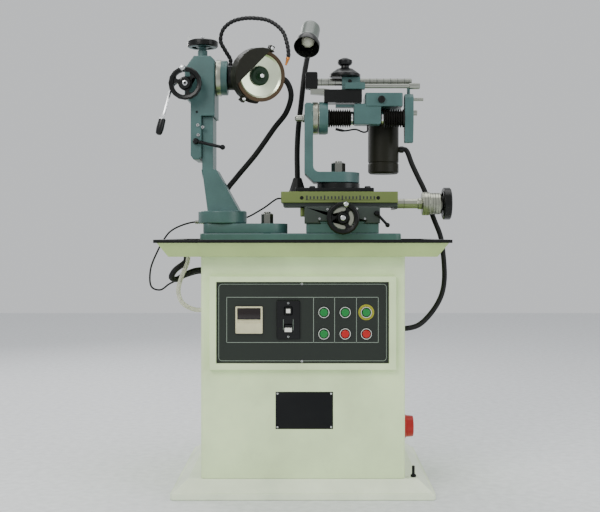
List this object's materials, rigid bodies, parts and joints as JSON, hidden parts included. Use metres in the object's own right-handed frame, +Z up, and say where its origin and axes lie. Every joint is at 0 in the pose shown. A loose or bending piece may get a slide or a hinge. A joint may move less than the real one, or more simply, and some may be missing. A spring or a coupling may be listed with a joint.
{
  "type": "saw blade sharpening machine",
  "caption": "Floor-standing grinder for circular saw blades: cabinet with coolant tray, column with tilting wheel head, cross table with swivel bracket, blade feed arm, lamp and hoses.",
  "frame": {"origin": "centre of the foot's underside, on the floor", "axes": "+X to the right as one faces the control panel, +Y to the back, +Z up"},
  "size_m": [0.8695, 0.664, 1.3211],
  "materials": {
    "casting": "blue-grey enamel",
    "black_steel": "blackened",
    "cream": "pale greenish cream",
    "slate": "dark slate green",
    "white_plastic": "off-white",
    "black_plastic": "black",
    "red_plastic": "red",
    "green_plastic": "green",
    "steel": "bright",
    "black_cast": "black enamel",
    "chrome": "polished",
    "wheel_face": "turned, with a brown abrasive rim",
    "guard": "near-black olive",
    "rubber": "matt",
    "khaki": "khaki ground face",
    "grey_paint": "grey",
    "bulb": "frosted",
    "clear_plastic": "milky clear"
  },
  "bodies": {
    "stand": {"foot": "cream", "levelling_bolt": "black_steel", "cabinet": "cream", "rear_cover": "cream", "tray": "cream", "bed": "casting", "panel_plate": "slate", "panel_meter": "white_plastic", "breaker_body": "black_plastic", "power_inlet": "red_plastic", "coolant_tank": "black_plastic", "coolant_pump": "casting", "electrics_plate": "steel", "column_nut": "black_steel", "cross_slide_base": "casting", "drain_hose": "rubber", "clear_tube": "clear_plastic", "lamp_cable": "rubber", "motor_supply_hose": "rubber"},
    "column": {"column_pad": "casting", "column_post": "casting", "motor_cable": "rubber"},
    "head": {"head_casting": "casting"},
    "lift_wheel_body": {"lift_wheel": "black_cast"},
    "feed_shaft": {"feed_wheel": "black_cast", "feed_lever": "chrome"},
    "column_lever": {"column_clamp_lever": "black_steel"},
    "quill": {"quill_flange": "steel"},
    "grinding_head": {"guard_arm": "guard", "wheel_guard": "guard", "grinding_motor": "black_cast", "coolant_hose": "black_plastic"},
    "spindle": {"grinding_wheel": "wheel_face", "wheel_spindle": "black_steel"},
    "saddle_body": {"saddle": "casting"},
    "saddle_lever": {"saddle_clamp_lever": "black_steel"},
    "cross_wheel_body": {"cross_wheel": "black_cast"},
    "table_body": {"table": "khaki", "swivel_plate": "black_cast", "lamp_neck": "black_plastic", "bracket_nut": "black_steel"},
    "table_wheel_body": {"table_wheel": "black_cast"},
    "bracket_body": {"bracket": "casting"},
    "arm": {"tilt_arm": "black_cast", "bellows_left": "rubber", "bellows_right": "rubber"},
    "carriage_body": {"carriage": "casting", "carriage_motor": "guard"},
    "slider": {"slider_block": "black_steel"},
    "slider_knob": {"thumb_knob": "black_plastic"},
    "lamp_head": {"lamp_shade": "grey_paint", "lamp_bulb": "bulb"},
    "button_1": {"push_button_1": "green_plastic"},
    "button_2": {"push_button_2": "green_plastic"},
    "button_3": {"push_button_3": "green_plastic"},
    "button_4": {"push_button_4": "green_plastic"},
    "button_5": {"push_button_5": "red_plastic"},
    "button_6": {"push_button_6": "red_plastic"},
    "breaker_on_body": {"breaker_on": "white_plastic"},
    "breaker_off_body": {"breaker_off": "white_plastic"}
  },
  "joints": [
    {"name": "button_1_press", "type": "slide", "parent": "stand", "child": "button_1", "axis": [0, 1, 0], "range_m": [0, 0.003], "stiffness_N_per_m": 400},
    {"name": "button_2_press", "type": "slide", "parent": "stand", "child": "button_2", "axis": [0, 1, 0], "range_m": [0, 0.003], "stiffness_N_per_m": 400},
    {"name": "button_3_press", "type": "slide", "parent": "stand", "child": "button_3", "axis": [0, 1, 0], "range_m": [0, 0.003], "stiffness_N_per_m": 400},
    {"name": "button_4_press", "type": "slide", "parent": "stand", "child": "button_4", "axis": [0, 1, 0], "range_m": [0, 0.003], "stiffness_N_per_m": 400},
    {"name": "button_5_press", "type": "slide", "parent": "stand", "child": "button_5", "axis": [0, 1, 0], "range_m": [0, 0.003], "stiffness_N_per_m": 400},
    {"name": "button_6_press", "type": "slide", "parent": "stand", "child": "button_6", "axis": [0, 1, 0], "range_m": [0, 0.003], "stiffness_N_per_m": 400},
    {"name": "breaker_on_press", "type": "slide", "parent": "stand", "child": "breaker_on_body", "axis": [0, 1, 0], "range_m": [0, 0.003], "stiffness_N_per_m": 400},
    {"name": "breaker_off_press", "type": "slide", "parent": "stand", "child": "breaker_off_body", "axis": [0, 1, 0], "range_m": [0, 0.003], "stiffness_N_per_m": 400},
    {"name": "column_swing", "type": "hinge", "parent": "stand", "child": "column", "pos_m": [-0.104, -0.0415, 0.715], "axis": [0, 0, 1], "range_deg": [-6, 6]},
    {"name": "head_lift", "type": "slide", "parent": "column", "child": "head", "axis": [0, 0, 1], "range_m": [0, 0.015], "deforming": ["motor_cable"]},
    {"name": "lift_wheel_turn", "type": "hinge", "parent": "head", "child": "lift_wheel_body", "pos_m": [-0.2945, 0.004, 1.253], "axis": [0, 0, 1], "range_deg": [0, 1080]},
    {"name": "feed_turn", "type": "hinge", "parent": "head", "child": "feed_shaft", "pos_m": [-0.328, -0.13, 1.118], "axis": [0, 1, 0], "range_deg": [0, 69]},
    {"name": "column_lever_turn", "type": "hinge", "parent": "head", "child": "column_lever", "pos_m": [-0.302, -0.1023, 0.96], "axis": [0, 1, 0], "range_deg": [-40, 30]},
    {"name": "quill_feed", "type": "slide", "parent": "head", "child": "quill", "axis": [1, 0, 0], "range_m": [0, 0.0122]},
    {"name": "grinding_tilt", "type": "hinge", "parent": "quill", "child": "grinding_head", "pos_m": [-0.205, -0.0415, 1.147], "axis": [1, 0, 0], "range_deg": [-15, 15]},
    {"name": "wheel_spin", "type": "hinge", "parent": "grinding_head", "child": "spindle", "pos_m": [-0.122, -0.13, 1.14], "axis": [0.3947, -0.9081, -0.1395], "continuous": true},
    {"name": "cross_feed", "type": "slide", "parent": "stand", "child": "saddle_body", "axis": [0, 1, 0], "range_m": [-0.01, 0.01]},
    {"name": "cross_wheel_turn", "type": "hinge", "parent": "saddle_body", "child": "cross_wheel_body", "pos_m": [0.11, -0.143, 0.743], "axis": [0, 1, 0], "range_deg": [-720, 720]},
    {"name": "saddle_lever_turn", "type": "hinge", "parent": "saddle_body", "child": "saddle_lever", "pos_m": [0.206, -0.1123, 0.757], "axis": [0, 1, 0], "range_deg": [-30, 40]},
    {"name": "table_feed", "type": "slide", "parent": "saddle_body", "child": "table_body", "axis": [1, 0, 0], "range_m": [-0.015, 0.015], "deforming": ["lamp_cable"]},
    {"name": "table_wheel_turn", "type": "hinge", "parent": "table_body", "child": "table_wheel_body", "pos_m": [0.4023, -0.02, 0.787], "axis": [1, 0, 0], "range_deg": [-1080, 1080]},
    {"name": "bracket_swing", "type": "hinge", "parent": "table_body", "child": "bracket_body", "pos_m": [0.101, -0.02, 0.856], "axis": [0, 0, 1], "range_deg": [-12, 12]},
    {"name": "arm_tilt", "type": "hinge", "parent": "bracket_body", "child": "arm", "pos_m": [0.015, -0.02, 1.034], "axis": [1, 0, 0], "range_deg": [-12, 12]},
    {"name": "carriage_feed", "type": "slide", "parent": "arm", "child": "carriage_body", "axis": [1, 0, 0], "range_m": [-0.006, 0.006], "deforming": ["motor_supply_hose", "bellows_left", "bellows_right"]},
    {"name": "slider_feed", "type": "slide", "parent": "arm", "child": "slider", "axis": [1, 0, 0], "range_m": [-0.012, 0.02]},
    {"name": "knob_turn", "type": "hinge", "parent": "slider", "child": "slider_knob", "pos_m": [0.12, -0.02, 1.163], "axis": [0, 0, 1], "range_deg": [-180, 180]},
    {"name": "lamp_tilt", "type": "hinge", "parent": "table_body", "child": "lamp_head", "pos_m": [0.02, 0.058, 1.277], "axis": [1, 0, 0], "range_deg": [-15, 15]}
  ],
  "couplings": [
    {"joint": "lift_wheel_turn", "follows": "head_lift", "rad_per_m": 1255.4},
    {"joint": "quill_feed", "follows": "feed_turn", "m_per_rad": 0.0101},
    {"joint": "cross_wheel_turn", "follows": "cross_feed", "rad_per_m": 1255.4},
    {"joint": "table_wheel_turn", "follows": "table_feed", "rad_per_m": 1255.4}
  ]
}
